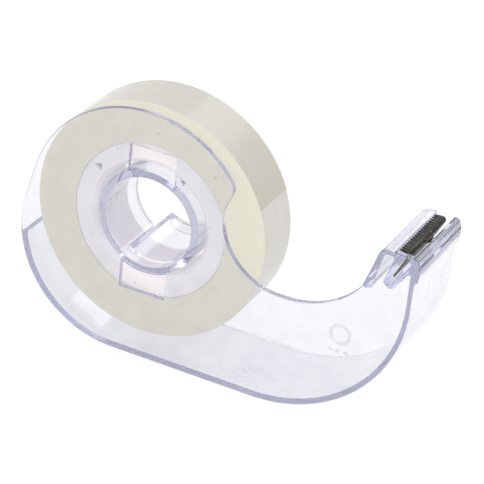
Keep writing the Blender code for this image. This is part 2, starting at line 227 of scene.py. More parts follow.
def offset(outline: Points, distance: Points) -> Points:
    """Move a closed anticlockwise outline inwards by a distance.

    Each point moves along the mean of its two sides' inward normals, and the
    move is lengthened so that the sides themselves move by the distance.

    Args:
        outline: An (n, 2) array.
        distance: One number, or one for each point.

    Returns:
        An (n, 2) array.
    """
    ahead = np.roll(outline, -1, axis=0) - outline
    ahead /= np.linalg.norm(ahead, axis=1, keepdims=True)
    normal = np.stack([-ahead[:, 1], ahead[:, 0]], axis=-1)
    both = normal + np.roll(normal, 1, axis=0)
    sharpest = 0.35  # keeps the point of a very sharp corner from running away
    both /= np.maximum(sharpest, (both * both).sum(axis=1, keepdims=True) / 2)
    return outline + both * np.reshape(distance, (-1, 1))


def divided(outline: Points, spacing: float) -> Points:
    """Closed outline with its long sides divided, so that it can bend.

    Args:
        outline: An (n, 2) array.
        spacing: Longest side that is left undivided.

    Returns:
        An (m, 2) array.
    """
    pieces = []
    for start, end in zip(outline, np.roll(outline, -1, axis=0)):
        count = max(1, math.ceil(np.linalg.norm(end - start) / spacing))
        pieces.append(start + (end - start) * np.linspace(0, 1, count, endpoint=False)[:, None])
    return np.concatenate(pieces)


# ---- solids from grids -----------------------------------------------------------


def grid_mesh(name: str, grid: Points, wrap_rows: bool, wrap_columns: bool,
              caps: bool = False) -> Piece:
    """Make a closed or open quad mesh from a grid of points.

    Args:
        name: Name of the new object.
        grid: A (rows, columns, 3) array.
        wrap_rows: The last row joins the first.
        wrap_columns: The last column joins the first.
        caps: Close the first and last row with one face each.

    Returns:
        The new object, linked to the scene. Its faces point out: the sum of
        each face's area vector times its place, which is three times the
        volume, tells whether they have to be turned round.
    """
    rows, columns = grid.shape[:2]
    index = np.arange(rows * columns).reshape(rows, columns)
    r = np.arange(rows if wrap_rows else rows - 1)[:, None]
    c = np.arange(columns if wrap_columns else columns - 1)[None, :]
    r1, c1 = (r + 1) % rows, (c + 1) % columns
    quads = np.stack([index[r, c], index[r1, c], index[r1, c1], index[r, c1]], axis=-1).reshape(-1, 4)
    points = grid.reshape(-1, 3)
    middle = points.mean(axis=0)
    a, b, c, d = (points[quads[:, i]] - middle for i in range(4))
    volume = (np.cross(a - c, b - d) * (a + b + c + d)).sum()
    faces = quads.tolist()
    if caps:
        faces += [index[0].tolist(), index[-1][::-1].tolist()]
    if volume < 0:
        faces = [face[::-1] for face in faces]
    mesh = bpy.data.meshes.new(name)
    mesh.from_pydata(points.tolist(), [], faces)
    mesh.update()
    obj = bpy.data.objects.new(name, mesh)
    bpy.context.scene.collection.objects.link(obj)
    return obj


def quarter(radius: float, steps: int = 4) -> Points:
    """(across, inset) pairs of a quarter circle from an end face to the side."""
    angle = np.linspace(0, np.pi / 2, steps + 1)
    return np.stack([radius * (1 - np.cos(angle)), radius * (1 - np.sin(angle))], axis=-1)


def prism(name: str, datum: Datum, outline: Points, near: float, far: float,
          near_round: float = 0.0, far_round: float = 0.0) -> Piece:
    """Carry a closed outline across the body, with rounded ends.

    The surface is outline(u) inset by i(v) at across(v), and a round insets
    its end along a quarter circle.

    Args:
        name: Name of the new object.
        datum: Where the side view lies in the world.
        outline: An anticlockwise (n, 2) array.
        near: Across value of the near end.
        far: Across value of the far end.
        near_round: Radius at the near end.
        far_round: Radius at the far end.

    Returns:
        The closed solid.
    """
    near_end, far_end = (quarter(r) if r else np.zeros((1, 2)) for r in (near_round, far_round))
    stations = [(near + a, inset) for a, inset in near_end]
    stations += [(far - a, inset) for a, inset in far_end[::-1]]
    rows = []
    for across, inset in stations:
        ring = offset(outline, inset)
        rows.append(datum.world(ring[:, 0], across, ring[:, 1]))
    return grid_mesh(name, np.array(rows), False, True, True)


def revolved(name: str, datum: Datum, profile: Points, steps: int = 256,
             centre: Pair = (0.0, 0.0)) -> Piece:
    """Turn a closed (radius, across) profile about a line along Y.

    The surface is centre + (r(v) cos u, a(v), r(v) sin u), with u once round.

    Args:
        name: Name of the new object.
        datum: Where the side view lies in the world.
        profile: A (n, 2) array that runs up its outer side, towards +across.
        steps: Number of columns round the axis.
        centre: Side-view point that the axis passes through.

    Returns:
        The closed solid.
    """
    angle = np.linspace(0, 2 * np.pi, steps, endpoint=False)[:, None]
    radius, across = profile[:, 0][None, :], profile[:, 1][None, :]
    grid = datum.world(centre[0] + radius * np.cos(angle), across, centre[1] + radius * np.sin(angle))
    return grid_mesh(name, grid, True, True)


class Carve(Enum):
    """How a tool changes the solid it is applied to."""

    CUT = "DIFFERENCE"
    JOIN = "UNION"


def carve(obj: Piece, tools: list[tuple[Carve, Piece]]) -> Piece:
    """Apply boolean tools to a solid in order, and remove the tools.

    Args:
        obj: The solid that is changed.
        tools: Pairs of an operation and its tool solid.

    Returns:
        The same object with its final mesh.
    """
    for operation, tool in tools:
        modifier = obj.modifiers.new(tool.name, "BOOLEAN")
        modifier.operation = operation.value
        modifier.solver = "EXACT"
        modifier.object = tool
    bpy.context.view_layer.update()
    evaluated = obj.evaluated_get(bpy.context.evaluated_depsgraph_get())
    mesh = bpy.data.meshes.new_from_object(evaluated)
    mesh.name = obj.name
    clean = bmesh.new()
    clean.from_mesh(mesh)
    bmesh.ops.remove_doubles(clean, verts=clean.verts[:], dist=SLIVER)
    clean.to_mesh(mesh)
    clean.free()
    obj.modifiers.clear()
    obj.data = mesh
    for _, tool in tools:
        bpy.data.objects.remove(tool, do_unlink=True)
    return obj


def joined(pieces: list[Piece]) -> Piece:
    """Put several separate solids in the first one's mesh.

    Args:
        pieces: The solids, all but the first of which are removed.

    Returns:
        The first object, with all their faces.
    """
    both = bmesh.new()
    for piece in pieces:
        both.from_mesh(piece.data)
    both.to_mesh(pieces[0].data)
    both.free()
    for piece in pieces[1:]:
        bpy.data.objects.remove(piece, do_unlink=True)
    return pieces[0]


def smooth(obj: Piece, sharp_angle: float = 40.0) -> Piece:
    """Shade smooth, keep corners sharp and let large faces set the normals.

    Args:
        obj: The piece.
        sharp_angle: Edges that turn by more than this stay sharp.

    Returns:
        The same object.
    """
    obj.data.shade_smooth()
    obj.data.set_sharp_from_angle(angle=math.radians(sharp_angle))
    weighted = obj.modifiers.new("even_normals", "WEIGHTED_NORMAL")
    weighted.keep_sharp = True
    weighted.weight = 90
    return obj


# ---- shader helpers --------------------------------------------------------------


class Shader:
    """Small helper that adds and joins nodes in one node tree.

    Args:
        tree: The node tree that is built.
    """

    def __init__(self, tree: Tree) -> None:
        """Keep the tree and the object coordinates' node, made when asked for."""
        self.tree = tree
        self._coordinates = None

    def give(self, target: Socket, value: Socket | float | Triple) -> None:
        """Join an output to an input, or set the input to a plain value.

        Args:
            target: The input.
            value: An output, a number, a vector or a colour.
        """
        if isinstance(value, Socket):
            self.tree.links.new(value, target)
        elif target.type == "RGBA":
            target.default_value = (*value, 1.0)
        else:
            target.default_value = value

    def fill(self, made: Node, inputs: dict[str, Socket | float | Triple]) -> None:
        """Give several of a node's inputs.

        Args:
            made: The node.
            inputs: Values by name of the input.
        """
        for key, value in inputs.items():
            self.give(made.inputs[key], value)

    def node(self, kind: str, inputs: dict[str, Socket | float | Triple] | None = None,
             **settings: object) -> Node:
        """Add a node.

        Args:
            kind: Type of the node.
            inputs: Values of its inputs by name.
            settings: Its properties.

        Returns:
            The new node.
        """
        made = self.tree.nodes.new(kind)
        for key, value in settings.items():
            setattr(made, key, value)
        self.fill(made, inputs or {})
        return made

    def coordinates(self, kind: str) -> Socket:
        """Coordinates of one kind, such as Object."""
        self._coordinates = self._coordinates or self.node("ShaderNodeTexCoord")
        return self._coordinates.outputs[kind]

    def position(self, scale: Triple = (1, 1, 1)) -> Socket:
        """Object coordinates, stretched by a Mapping node."""
        mapping = self.node("ShaderNodeMapping", {"Vector": self.coordinates("Object"), "Scale": scale})
        return mapping.outputs["Vector"]

    def split(self, vector: Socket) -> bpy.types.NodeOutputs:
        """The outputs X, Y and Z of a vector."""
        return self.node("ShaderNodeSeparateXYZ", {"Vector": vector}).outputs

    def math(self, operation: str, *values: Socket | float, clamp: bool = False) -> Socket:
        """Add a Math node.

        Args:
            operation: What it does.
            values: Its operands, in order.
            clamp: Keep the result between 0 and 1.

        Returns:
            The result.
        """
        made = self.node("ShaderNodeMath", operation=operation, use_clamp=clamp)
        for target, value in zip(made.inputs, values):
            self.give(target, value)
        return made.outputs[0]

    def line(self, value: Socket, gain: float, start: Socket | float, clamp: bool = False) -> Socket:
        """The start, plus the gain times the value."""
        return self.math("MULTIPLY_ADD", value, gain, start, clamp=clamp)

    def noise(self, vector: Socket, scale: Socket | float, detail: float) -> Socket:
        """A noise pattern between 0 and 1."""
        inputs = {"Vector": vector, "Scale": scale, "Detail": detail, "Roughness": 0.5}
        return self.node("ShaderNodeTexNoise", inputs).outputs["Fac"]

    def ramp(self, value: Socket, low: float, high: float) -> Socket:
        """Map low..high to 0..1, clamped."""
        inputs = {"Value": value, "From Min": low, "From Max": high}
        return self.node("ShaderNodeMapRange", inputs).outputs["Result"]

    def mix(self, factor: Socket, first: Socket | Triple, second: Socket | Triple) -> Socket:
        """Mix two colours.

        Args:
            factor: Share of the second colour.
            first: The first colour.
            second: The second colour.

        Returns:
            The mixed colour.
        """
        made = self.node("ShaderNodeMix", {"Factor": factor}, data_type="RGBA")
        colours = [socket for socket in made.inputs if socket.type == "RGBA"]
        self.give(colours[0], first)
        self.give(colours[1], second)
        return next(socket for socket in made.outputs if socket.type == "RGBA")

    def bump(self, height: Socket, strength: float, distance: float, normal: Socket | None = None) -> Socket:
        """Add a Bump node.

        Args:
            height: The height, counted in distances.
            strength: How much of it shows.
            distance: Length that a height of 1 stands for.
            normal: The normal that it is added to, if there is one.

        Returns:
            The bent normal.
        """
        made = self.node("ShaderNodeBump", {"Height": height, "Strength": strength, "Distance": distance})
        if normal is not None:
            self.give(made.inputs["Normal"], normal)
        return made.outputs["Normal"]


def make_group(name: str, inputs: dict[str, float], outputs: list[str]) -> tuple[Shader, Node, Node]:
    """Start a shader group with float inputs and outputs.

    Args:
        name: Name of the group.
        inputs: Input names with their defaults.
        outputs: Output names.

    Returns:
        The group's helper, its input node and its output node.
    """
    group = bpy.data.node_groups.new(name, "ShaderNodeTree")
    for key, value in inputs.items():
        socket = group.interface.new_socket(key, in_out="INPUT", socket_type="NodeSocketFloat")
        socket.default_value = value
    for key in outputs:
        group.interface.new_socket(key, in_out="OUTPUT", socket_type="NodeSocketFloat")
    shader = Shader(group)
    return shader, shader.node("NodeGroupInput"), shader.node("NodeGroupOutput")


def scuff_group() -> Tree:
    """Fine hairline scratches in patches, as a height and a mask.

    A scratch lies where a stretched noise passes through its middle value.

    Returns:
        A group with inputs Density and Amount, and outputs Height and Mask.
    """
    shader, given, made = make_group("scuffs", {"Density": 900.0, "Amount": 0.5}, ["Height", "Mask"])
    middle, hairline = 0.5, 0.012
    lines = []
    for stretch in ((0.06, 1.0, 1.0), (1.0, 1.0, 0.08), (0.4, 1.0, 0.5)):
        noise = shader.noise(shader.position(stretch), given.outputs["Density"], detail=2.0)
        away = shader.math("ABSOLUTE", shader.math("SUBTRACT", noise, middle))
        lines.append(shader.math("SUBTRACT", 1.0, shader.ramp(away, low=0.0, high=hairline)))
    total = shader.math("MAXIMUM", shader.math("MAXIMUM", lines[0], lines[1]), lines[2])
    patches = shader.ramp(shader.noise(shader.position(), scale=60.0, detail=2.0), low=0.5, high=0.72)
    mask = shader.math("MULTIPLY", shader.math("MULTIPLY", total, patches), given.outputs["Amount"])
    shader.fill(made, {"Mask": mask, "Height": shader.math("MULTIPLY", mask, -1.0)})
    return shader.tree


def speck_group() -> Tree:
    """Sparse small round specks, such as bubbles and dust, as a mask.

    Returns:
        A group with inputs Scale, Size and Share, and output Mask.
    """
    shader, given, made = make_group("specks", {"Scale": 300.0, "Size": 0.12, "Share": 0.1}, ["Mask"])
    cells = shader.node("ShaderNodeTexVoronoi",
                        {"Vector": shader.position(), "Scale": given.outputs["Scale"]})
    chosen = shader.math("LESS_THAN", cells.outputs["Color"], given.outputs["Share"])
    inside = shader.math("LESS_THAN", cells.outputs["Distance"], given.outputs["Size"])
    shader.fill(made, {"Mask": shader.math("MULTIPLY", chosen, inside)})
    return shader.tree


class Effects:
    """The shader groups that several finishes share, built once."""

    def __init__(self) -> None:
        """Build both groups."""
        self.scuffs = scuff_group()
        self.specks = speck_group()

    @staticmethod
    def place(shader: Shader, group: Tree, **values: float) -> bpy.types.NodeOutputs:
        """Put a group in a material with its own input values, and give its outputs."""
        inputs = {key.title(): value for key, value in values.items()}
        return shader.node("ShaderNodeGroup", inputs, node_tree=group).outputs


def new_material(name: str) -> tuple[Material, Shader, Node]:
    """Start a material.

    Args:
        name: Name of the material.

    Returns:
        The material, its helper and its Principled shader.
    """
    material = bpy.data.materials.new(name)
    material.use_nodes = True
    return material, Shader(material.node_tree), material.node_tree.nodes["Principled BSDF"]


# ---- finishes --------------------------------------------------------------------


@dataclass(frozen=True)
class ClearPlastic:
    """Clear injection-moulded polystyrene with a faint lavender tint in its depth.

    Light that has bounced many times inside a wall meets a rougher surface,
    as it does on a real moulding's edges, and so it gets out again. Lamps and
    light scattered by other pieces pass straight through the walls.
    """

    name: str = "clear_plastic"
    tint: Triple = (0.948, 0.948, 0.964)
    hazy: Triple = (0.905, 0.905, 0.925)
    speck: Triple = (0.55, 0.56, 0.60)
    depth_colour: Triple = (0.62, 0.63, 0.75)
    depth_density: float = 95.0
    roughness: float = 0.03
    haze_roughness: float = 0.07
    scuff_roughness: float = 0.3
    ior: float = 1.58
    trapped_after: float = 8.5
    trapped_roughness: float = 0.6
    # painted shade: dark colour painted on the plate's rounded rear edge
    painted_shade_tint: Triple = (0.30, 0.31, 0.50)
    edge_end: float = -9.6 * MM
    edge_foot: float = 29.0 * MM

    def painted_shade_mask(self, shader: Shader) -> Socket:
        """Mask of painted shade on the plate's rounded rear edge.

        It is 1 where the surface turns away from the plate's face and looks
        rearward, within the plate's thickness and above the rim wall's end.

        Args:
            shader: The material's helper.

        Returns:
            The mask.
        """
        facing = shader.split(shader.coordinates("Normal"))
        place = shader.split(shader.coordinates("Object"))
        rearward = shader.ramp(shader.math("MULTIPLY", facing["X"], -1.0), low=0.08, high=0.35)
        in_plate = shader.math("LESS_THAN", place["Y"], self.edge_end)
        above = shader.math("GREATER_THAN", place["Z"], self.edge_foot)
        return shader.math("MULTIPLY", rearward, shader.math("MULTIPLY", in_plate, above))

    def build(self, effects: Effects) -> Material:
        """Make the material.

        Args:
            effects: The shared shader groups.

        Returns:
            The finished material.
        """
        material, shader, surface = new_material(self.name)
        scuffs = effects.place(shader, effects.scuffs, density=420.0, amount=0.9)
        specks = effects.place(shader, effects.specks, scale=320.0, size=0.06, share=0.27)
        haze = shader.ramp(shader.noise(shader.position(), scale=260.0, detail=4.0), low=0.40, high=0.70)
        colour = shader.mix(haze, self.tint, self.hazy)
        # painted shade: the plate's rounded rear edge is darkened towards a dark lavender
        colour = shader.mix(self.painted_shade_mask(shader), colour, self.painted_shade_tint)
        colour = shader.mix(specks["Mask"], colour, self.speck)
        path = shader.node("ShaderNodeLightPath")
        trapped = shader.math("GREATER_THAN", path.outputs["Ray Depth"], self.trapped_after)
        rough = shader.line(scuffs["Mask"], self.scuff_roughness, self.roughness)
        rough = shader.line(haze, self.haze_roughness, rough)
        rough = shader.line(trapped, self.trapped_roughness, rough, clamp=True)
        waves = shader.noise(shader.position(), scale=130.0, detail=1.0)
        flow = shader.bump(waves, strength=0.25, distance=0.12 * MM)
        shader.fill(surface, {
            "Transmission Weight": 1.0, "IOR": self.ior, "Base Color": colour, "Roughness": rough,
            "Normal": shader.bump(scuffs["Height"], strength=0.4, distance=0.02 * MM, normal=flow)})
        clear = shader.node("ShaderNodeBsdfTransparent")
        seen = surface.outputs["BSDF"]
        for ray in ("Is Diffuse Ray", "Is Shadow Ray"):
            mixer = shader.node("ShaderNodeMixShader")
            for target, source in zip(mixer.inputs, (path.outputs[ray], seen, clear.outputs["BSDF"])):
                shader.give(target, source)
            seen = mixer.outputs["Shader"]
        depth = shader.node("ShaderNodeVolumeAbsorption",
                            {"Color": self.depth_colour, "Density": self.depth_density})
        output = material.node_tree.nodes["Material Output"]
        shader.fill(output, {"Surface": seen, "Volume": depth.outputs["Volume"]})
        return material


@dataclass(frozen=True)
class CorePlastic:
    """Milky moulded plastic that lets a little light through."""

    name: str = "core_plastic"
    colour: Triple = (0.83, 0.79, 0.80)
    shade: Triple = (0.76, 0.72, 0.73)
    speck: Triple = (0.42, 0.40, 0.42)

    def build(self, effects: Effects) -> Material:
        """Make the material.

        Args:
            effects: The shared shader groups.

        Returns:
            The finished material.
        """
        material, shader, surface = new_material(self.name)
        clouds = shader.ramp(shader.noise(shader.position(), scale=140.0, detail=3.0), low=0.35, high=0.75)
        specks = effects.place(shader, effects.specks, scale=420.0, size=0.08, share=0.27)
        scuffs = effects.place(shader, effects.scuffs, density=600.0, amount=0.6)
        colour = shader.mix(clouds, self.colour, self.shade)
        shader.fill(surface, {
            "Base Color": shader.mix(specks["Mask"], colour, self.speck), "Subsurface Weight": 0.35,
            "Subsurface Radius": (1.0, 0.95, 0.95), "Subsurface Scale": 1.5 * MM,
            "Roughness": shader.line(scuffs["Mask"], gain=0.2, start=0.38),
            "Normal": shader.bump(scuffs["Height"], strength=0.5, distance=0.03 * MM)})
        return material


@dataclass(frozen=True)
class TapeFilm:
    """Wound translucent film: fine rings on its sides and faint bands on its face."""

    name: str = "tape_film"
    side: Triple = (0.72, 0.695, 0.58)
    side_dark: Triple = (0.675, 0.64, 0.535)
    face: Triple = (0.62, 0.60, 0.56)
    # painted shade: the darker colour that the face is shaded towards
    face_painted_shade: Triple = (0.50, 0.47, 0.40)
    speck: Triple = (0.38, 0.35, 0.30)

    def build(self, effects: Effects) -> Material:
        """Make the material.

        Args:
            effects: The shared shader groups.

        Returns:
            The finished material.
        """
        material, shader, surface = new_material(self.name)
        radius, on_face, shade = (
            shader.node("ShaderNodeAttribute", attribute_name=name).outputs["Fac"]
            for name in ("wind_radius", "wind_face", "wind_shade"))
        rings, broad = (
            shader.node("ShaderNodeTexNoise", {"W": radius, "Scale": scale, "Detail": detail},
                        noise_dimensions="1D").outputs["Fac"]
            for scale, detail in ((7000.0, 4.0), (900.0, 2.0)))
        layers = shader.line(broad, gain=0.6, start=shader.math("MULTIPLY", rings, 0.5))
        layered = shader.math("MULTIPLY", shader.ramp(layers, low=0.35, high=0.8), 0.7)
        clouds = shader.ramp(shader.noise(shader.position(), scale=70.0, detail=3.0), low=0.3, high=0.8)
        side = shader.mix(shader.line(clouds, gain=0.3, start=layered, clamp=True), self.side, self.side_dark)
        stretched = shader.position((0.2, 3.0, 0.2))
        bands = shader.ramp(shader.noise(stretched, scale=220.0, detail=3.0), low=0.3, high=0.75)
        # painted shade from the wind_shade attribute, with random bands added, darkens the face
        dark = shader.line(bands, gain=0.22, start=shade, clamp=True)
        colour = shader.mix(on_face, side, shader.mix(dark, self.face, self.face_painted_shade))
        specks = effects.place(shader, effects.specks, scale=300.0, size=0.06, share=0.27)
        shader.fill(surface, {
            "Base Color": shader.mix(specks["Mask"], colour, self.speck), "Subsurface Weight": 0.2,
            "Subsurface Radius": (1.0, 0.95, 0.85), "Subsurface Scale": 1.0 * MM,
            "Roughness": shader.line(on_face, gain=-0.22, start=0.46),
            "Normal": shader.bump(rings, strength=0.35, distance=0.05 * MM)})
        return material


@dataclass(frozen=True)
class BladeSteel:
    """Dark strip steel with rolling marks along it and grinding marks across."""

    name: str = "blade_steel"
    colour: Triple = (0.034, 0.031, 0.026)
    worn: Triple = (0.17, 0.155, 0.13)

    def build(self, effects: Effects) -> Material:
        """Make the material.

        Args:
            effects: The shared shader groups.

        Returns:
            The finished material.
        """
        material, shader, surface = new_material(self.name)
        rolled = shader.noise(shader.position((1.0, 0.04, 1.0)), scale=2600.0, detail=3.0)
        ground = shader.noise(shader.position((0.25, 1.0, 0.25)), scale=2200.0, detail=2.0)
        scuffs = effects.place(shader, effects.scuffs, density=1500.0, amount=0.8)
        marks = shader.math("MAXIMUM", shader.ramp(rolled, low=0.62, high=0.8), scuffs["Mask"])
        marks = shader.math("MAXIMUM", marks, shader.ramp(ground, low=0.56, high=0.72))
        height = shader.line(ground, gain=0.8, start=shader.math("MULTIPLY", rolled, 0.4))
        shader.fill(surface, {
            "Metallic": 1.0, "Base Color": shader.mix(marks, self.colour, self.worn),
            "Roughness": shader.line(rolled, gain=0.25, start=0.3),
            "Normal": shader.bump(height, strength=0.6, distance=0.06 * MM)})
        return material


# ---- the clear moulding ----------------------------------------------------------


def for_side(outline: Points, side: int) -> Points:
    """An outline above the hub axis as it is for side 1, and mirrored below it for -1."""
    return outline if side > 0 else (outline * (1, -1))[::-1]


@dataclass
class Moulding:
    """The clear one-piece body: plate, rim wall, hub tube and cutter head.

    The lobe is the plate's round part beside the roll. lobe_tip and tip_span
    are angles on its circle, and rim_end is one on the rear arc. A value
    whose name starts with over says how far a cut runs past a face.
    """

    datum: Datum
    plate: float = 1.2 * MM
    rim: float = 1.1 * MM
    block_bulge: float = 0.83 * MM
    edge: float = 0.3 * MM
    lobe_centre: Pair = (-2.0 * MM, -1.2 * MM)
    lobe_radius: float = 25.7 * MM
    lobe_tip: float = 35.7
    rear_radius: float = 23.6 * MM
    front_radius: float = 32.0 * MM
    rim_end: float = 188.7
    notch_depth: float = 6.7 * MM
    notch_rear_radius: float = 13.8 * MM
    notch_flat: float = 1.43 * MM
    tip_radius: float = 2.8 * MM
    tip_span: float = 8.0
    tip_start: Pair = (-2.0 * MM, -5.0 * MM)
    foot: Pair = (-10.7 * MM, 1.9 * MM)
    head_top: float = 11.4 * MM
    hub_outer: float = 11.6 * MM
    hub_inner: float = 10.1 * MM
    hub_end: float = 14.4 * MM
    hub_chamfer: float = 0.2 * MM
    hub_overlap: float = 1.2 * MM
    bay_fillet: float = 0.15 * MM
    slit_root: float = 3.4 * MM
    slit_half: float = 5.4 * MM
    slit_inner: float = 6.0 * MM
    slit_outer: float = 13.0 * MM
    window_sill: float = 0.05 * MM
    window_outer: float = 16.7 * MM
    over: float = 1.5 * MM
    over_plate: float = 0.1 * MM
    over_far: float = 4.0 * MM
    over_bay: float = 10.0 * MM

    @property
    def front(self) -> float:
        """Distance from the hub axis to the front wall's outer face."""
        return self.datum.front - self.block_bulge

    @property
    def drop(self) -> float:
        """Height of the hub axis above the base."""
        return self.datum.hub_z - self.datum.base_z

    def head(self, dx: float, dz: float, radius: float = 0.0) -> Triple:
        """Corner in millimetres from the top front corner of the cutter head."""
        return (self.front + dx * MM, self.head_top + dz * MM, radius * MM)

    def rear_centre(self) -> Pair:
        """Centre of the rear lower arc, which touches the base and the rearmost point."""
        return (self.rear_radius - self.datum.rear, self.rear_radius - self.drop)

    def front_centre(self) -> Pair:
        """Centre of the front lower arc, which touches the base and the front wall."""
        return (self.front - self.front_radius, self.front_radius - self.drop)

    def rear_tangent(self) -> float:
        """Angle at which one straight line touches the lobe and the rear arc.

        Returns:
            The angle, the same on both circles.
        """
        centre = self.rear_centre()
        dx, dz = centre[0] - self.lobe_centre[0], centre[1] - self.lobe_centre[1]
        towards = math.degrees(math.atan2(dz, dx))
        swing = math.degrees(math.acos((self.lobe_radius - self.rear_radius) / math.hypot(dx, dz)))
        return (towards - swing) % 360

    def notch(self) -> Points:
        """Concave edge from the landing's foot to the rounded tip of the lobe.

        Two arcs and a flat between them run along the notch's floor. Each
        arc's centre lies above the floor by its radius, and the front arc's
        radius is the one that takes it through the foot.

        Returns:
            An (n, 2) array.
        """
        tip = on_circle(self.lobe_centre, self.lobe_radius, self.lobe_tip)
        start = (tip[0] + self.tip_start[0], tip[1] + self.tip_start[1])
        rear_rise = start[1] + self.notch_depth - self.notch_rear_radius
        rear_centre = (start[0] + math.sqrt(self.notch_rear_radius ** 2 - rear_rise ** 2),
                       self.notch_rear_radius - self.notch_depth)
        rear_angle = 180 - math.degrees(math.asin(rear_rise / self.notch_rear_radius))
        run = self.front + self.foot[0] - rear_centre[0] - self.notch_flat
        rise = self.foot[1] + self.notch_depth
        radius = (run ** 2 + rise ** 2) / (2 * rise)
        front_centre = (rear_centre[0] + self.notch_flat, radius - self.notch_depth)
        front_angle = 360 - math.degrees(math.asin((radius - rise) / radius))
        beyond = on_circle(self.lobe_centre, self.lobe_radius, self.lobe_tip + self.tip_span)
        return np.concatenate([arc(front_centre, radius, front_angle, 270),
                               arc(rear_centre, self.notch_rear_radius, 270, rear_angle),
                               fillet(start, tip, beyond, self.tip_radius)])

    def silhouette(self) -> Points:
        """Whole side view, anticlockwise from the front of the base.

        Returns:
            An (n, 2) array.
        """
        tangent = self.rear_tangent()
        h = self.head
        block = rounded([h(0, -7.5), h(0, -5.9, 0.35), h(0.75, -5.1, 0.5), h(0.85, -2.2, 1.0),
                         h(0.2, -0.1, 0.9), h(-4, 0)])
        landing = rounded([h(-5.0, 0), h(-7.7, 0, 1.9), h(-8.8, -3.6, 6.0), h(-9.9, -8.9)])
        whole = np.concatenate([
            arc(self.front_centre(), self.front_radius, 270, 360), block[1:-1], landing[1:-1],
            self.notch(),
            arc(self.lobe_centre, self.lobe_radius, self.lobe_tip + self.tip_span, tangent),
            arc(self.rear_centre(), self.rear_radius, tangent, 270)])
        return thinned(whole)

    def bay(self) -> Points:
        """Hollow behind the plate: all but the rim wall and the head's walls.

        Returns:
            An (n, 2) array, which runs past the silhouette where it is open.
        """
        h = self.head
        centre = self.rear_centre()
        outside = self.lobe_radius + self.over_bay
        wall = -self.rim / MM
        pocket = rounded([h(wall, -8.0), h(wall, -4.1, 0.8), h(-1.9, -4.4, 0.5), h(-4.7, -8.8, 1.1),
                          h(-6.8, -7.7, 1.0), h(-4.6, -1.4, 0.7), h(-7.0, -1.3, 1.0), h(-7.8, -4.2, 4.0),
                          h(-8.8, -9.6)])
        foot = np.array([h(-9.0, -9.7)[:2], h(-10.4, -10.1)[:2], h(-13.0, -6.0)[:2],
                         (self.front + self.foot[0], outside), (-outside, outside),
                         (-outside, on_circle(centre, self.rear_radius, self.rim_end)[1])])
        whole = np.concatenate([arc(centre, self.rear_radius - self.rim, self.rim_end, 270),
                                arc(self.front_centre(), self.front_radius - self.rim, 270, 360),
                                pocket[1:-1], foot])
        return thinned(whole)

    def window(self, side: int) -> Points:
        """Moulding window beside the hub, with its sill bowed along the hub.

        Args:
            side: 1 for the one above the hub, -1 for the one below.

        Returns:
            An (n, 2) array.
        """
        sill = self.hub_outer + self.window_sill
        half_angle = math.degrees(math.asin(self.slit_half / sill))
        bow = arc((0, 0), sill, 90 - half_angle, 90 + half_angle)[::-1]
        top = np.array([(self.slit_half, self.window_outer), (-self.slit_half, self.window_outer)])
        return for_side(np.concatenate([bow, top]), side)

    def slit(self, side: int) -> Points:
        """Room for a snap finger in the hub's tube.

        Args:
            side: 1 for the upper finger, -1 for the lower one.

        Returns:
            A (4, 2) array.
        """
        half, inner, outer = self.slit_half, self.slit_inner, self.slit_outer
        return for_side(np.array([(-half, inner), (half, inner), (half, outer), (-half, outer)]), side)

    def build(self, channel: Points, notch: Piece) -> Piece:
        """Make the whole moulding as one closed solid.

        Args:
            channel: Outline of the blade's slot and seat.
            notch: Solid that makes room for the blade's barb.

        Returns:
            The finished object, not dressed yet.
        """
        d, far = self.datum, self.datum.width + self.over_far
        body = prism("clear_moulding", d, self.silhouette(), 0, d.width, self.edge, self.edge)
        inside = self.hub_inner - self.hub_overlap
        ring = np.array([(self.hub_outer, self.plate / 2), (self.hub_outer, self.hub_end - self.hub_chamfer),
                         (self.hub_outer - self.hub_chamfer, self.hub_end), (inside, self.hub_end),
                         (inside, self.plate / 2)])
        bore = arc((0, 0), self.hub_inner, 0, 360, step=1.5)[:-1]
        tools = [(Carve.CUT, prism("bay_cut", d, self.bay(), self.plate, far, self.bay_fillet)),
                 (Carve.JOIN, revolved("hub_join", d, ring)),
                 (Carve.CUT, prism("bore_cut", d, bore, -self.over, far))]
        for name, side in (("top", 1), ("bottom", -1)):
            tools.append((Carve.CUT, prism(name + "_window_cut", d, self.window(side), -self.over,
                                           self.plate + self.over_plate)))
            tools.append((Carve.CUT, prism(name + "_slit_cut", d, self.slit(side), self.slit_root, far)))
        tools.append((Carve.CUT, prism("channel_cut", d, channel, self.plate, far)))
        tools.append((Carve.CUT, notch))
        return smooth(carve(body, tools))

    def dress(self, obj: Piece, material: Material) -> None:
        """Give the moulding its finish and attach it to the dispenser's body.

        Args:
            obj: The moulding.
            material: Its finish.
        """
        obj.data.materials.clear()
        obj.data.materials.append(material)
        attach(obj, "dispenser")
        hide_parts("dispenser_body")


